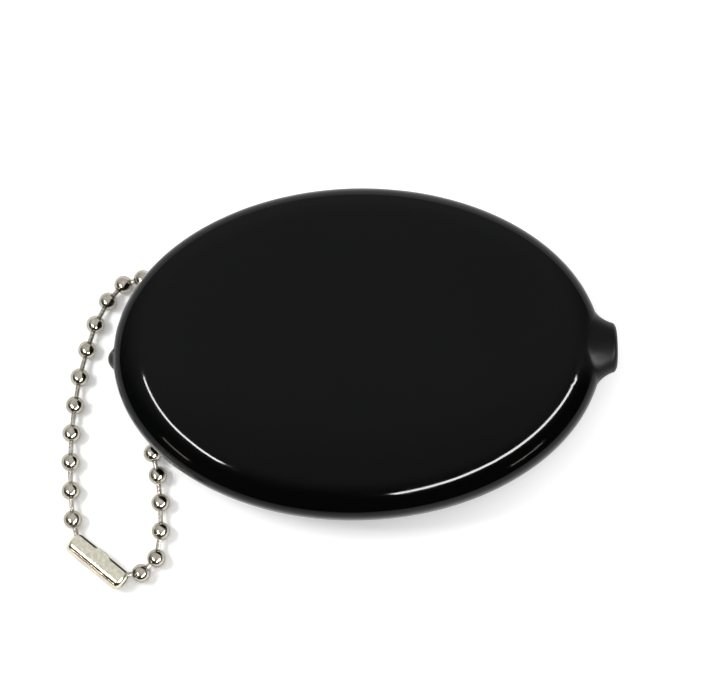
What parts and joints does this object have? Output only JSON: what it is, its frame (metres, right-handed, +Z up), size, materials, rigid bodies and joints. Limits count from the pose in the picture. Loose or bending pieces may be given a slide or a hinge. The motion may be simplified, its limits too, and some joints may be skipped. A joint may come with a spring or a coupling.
{
  "type": "squeeze coin purse",
  "caption": "Oval moulded vinyl coin purse that opens when squeezed, with a slit back, a hollow neck and a bead chain closed by a connector.",
  "frame": {"origin": "the middle of the slit, on the flat of the back on which the purse lies", "axes": "+X along the purse to its neck, +Y across it, +Z up through the front panel"},
  "size_m": [0.0909, 0.0642, 0.0165],
  "materials": {
    "vinyl": "glossy dip-moulded flexible vinyl",
    "ball_nickel": "bright nickel plate, slightly warm",
    "pin_nickel": "nickel plate",
    "connector_nickel": "nickel plate with fine rolling marks"
  },
  "bodies": {
    "purse": {"front_shell": "vinyl"},
    "upper_lip": {"upper_lip": "vinyl"},
    "lower_lip": {"lower_lip": "vinyl"},
    "chain_at_strap": {"chain_ball_01": "ball_nickel", "chain_ball_02": "ball_nickel", "chain_ball_03": "ball_nickel", "chain_ball_04": "ball_nickel", "chain_ball_05": "ball_nickel", "chain_ball_22": "ball_nickel", "chain_ball_23": "ball_nickel", "chain_ball_24": "ball_nickel", "chain_ball_25": "ball_nickel", "chain_pin_01": "pin_nickel", "chain_pin_02": "pin_nickel", "chain_pin_03": "pin_nickel", "chain_pin_04": "pin_nickel", "chain_pin_22": "pin_nickel", "chain_pin_23": "pin_nickel", "chain_pin_24": "pin_nickel", "chain_pin_25": "pin_nickel"},
    "chain_at_rim": {"chain_ball_06": "ball_nickel", "chain_ball_07": "ball_nickel", "chain_ball_08": "ball_nickel", "chain_ball_09": "ball_nickel", "chain_ball_21": "ball_nickel", "chain_pin_05": "pin_nickel", "chain_pin_06": "pin_nickel", "chain_pin_07": "pin_nickel", "chain_pin_08": "pin_nickel", "chain_pin_21": "pin_nickel"},
    "chain_middle": {"chain_ball_10": "ball_nickel", "chain_ball_11": "ball_nickel", "chain_ball_12": "ball_nickel", "chain_ball_20": "ball_nickel", "chain_pin_09": "pin_nickel", "chain_pin_10": "pin_nickel", "chain_pin_11": "pin_nickel", "chain_pin_20": "pin_nickel"},
    "chain_lower": {"chain_ball_13": "ball_nickel", "chain_ball_14": "ball_nickel", "chain_ball_19": "ball_nickel", "chain_pin_12": "pin_nickel", "chain_pin_13": "pin_nickel", "chain_pin_19": "pin_nickel"},
    "chain_end": {"chain_ball_15": "ball_nickel", "chain_ball_16": "ball_nickel", "chain_ball_17": "ball_nickel", "chain_ball_18": "ball_nickel", "chain_pin_14": "pin_nickel", "chain_pin_16": "pin_nickel", "chain_pin_17": "pin_nickel", "chain_pin_18": "pin_nickel", "chain_connector": "connector_nickel"}
  },
  "joints": [
    {"name": "upper_lip_bend", "type": "hinge", "parent": "purse", "child": "upper_lip", "pos_m": [0, 0.012, 0], "axis": [1, 0, 0], "range_deg": [0, 30], "stiffness_Nm_per_rad": 0.02},
    {"name": "lower_lip_bend", "type": "hinge", "parent": "purse", "child": "lower_lip", "pos_m": [0, -0.012, 0], "axis": [1, 0, 0], "range_deg": [-30, 0], "stiffness_Nm_per_rad": 0.02},
    {"name": "chain_swing", "type": "hinge", "parent": "purse", "child": "chain_at_strap", "pos_m": [-0.032, 0, 0.0042], "axis": [0, 1, 0], "range_deg": [-20, 0]},
    {"name": "chain_fold_1", "type": "hinge", "parent": "chain_at_strap", "child": "chain_at_rim", "pos_m": [-0.03363, -0.01631, 0.00209], "axis": [-0.2036, 0.979, -0.0126], "range_deg": [-20, 20]},
    {"name": "chain_fold_2", "type": "hinge", "parent": "chain_at_rim", "child": "chain_middle", "pos_m": [-0.03307, -0.01997, 0.0016], "axis": [-0.6233, 0.782, 0], "range_deg": [-20, 20]},
    {"name": "chain_fold_3", "type": "hinge", "parent": "chain_middle", "child": "chain_lower", "pos_m": [-0.0328, -0.02448, 0.0016], "axis": [-0.9029, 0.4299, 0], "range_deg": [-20, 20]},
    {"name": "chain_fold_4", "type": "hinge", "parent": "chain_lower", "child": "chain_end", "pos_m": [-0.03306, -0.02905, 0.0016], "axis": [-0.9872, 0.1594, 0.0077], "range_deg": [-20, 20]}
  ],
  "couplings": [
    {"joint": "lower_lip_bend", "follows": "upper_lip_bend", "ratio": -1}
  ]
}
